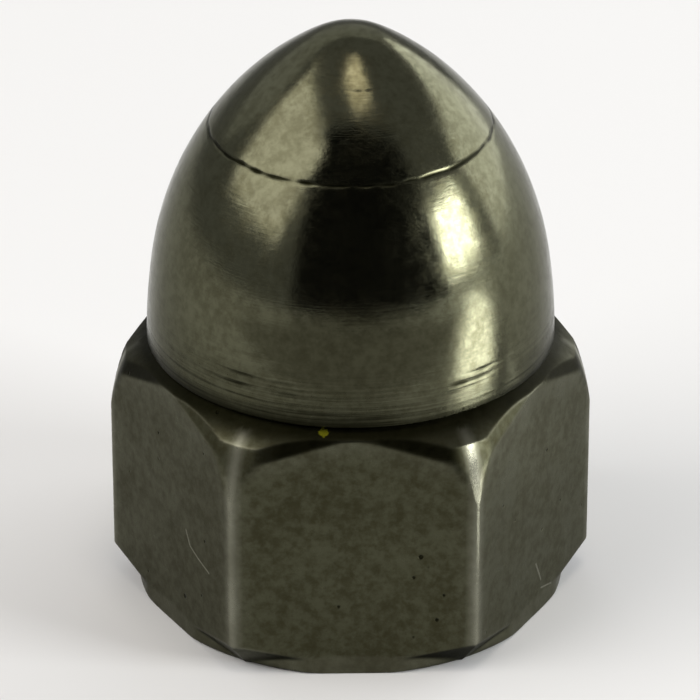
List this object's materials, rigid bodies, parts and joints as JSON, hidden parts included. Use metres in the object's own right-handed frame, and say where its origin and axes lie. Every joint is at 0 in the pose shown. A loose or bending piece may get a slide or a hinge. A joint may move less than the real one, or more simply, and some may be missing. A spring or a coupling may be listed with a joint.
{
  "type": "cap nut",
  "caption": "Tall domed cap nut: a hexagon nut body under a bullet-shaped dome, with a blind threaded hole and a turned line round the dome.",
  "frame": {"origin": "centre of the bearing face that the nut stands on", "axes": "+Z along the nut's axis, from the bearing face to the tip of the dome; two of the six flats face +Y and -Y"},
  "size_m": [0.015, 0.013, 0.0188],
  "materials": {
    "polished_steel": "tumbled and polished stainless steel, handled: cloudy mottling, small pits and fine turning marks"
  },
  "bodies": {
    "root": {"cap_nut": "polished_steel"}
  },
  "joints": []
}
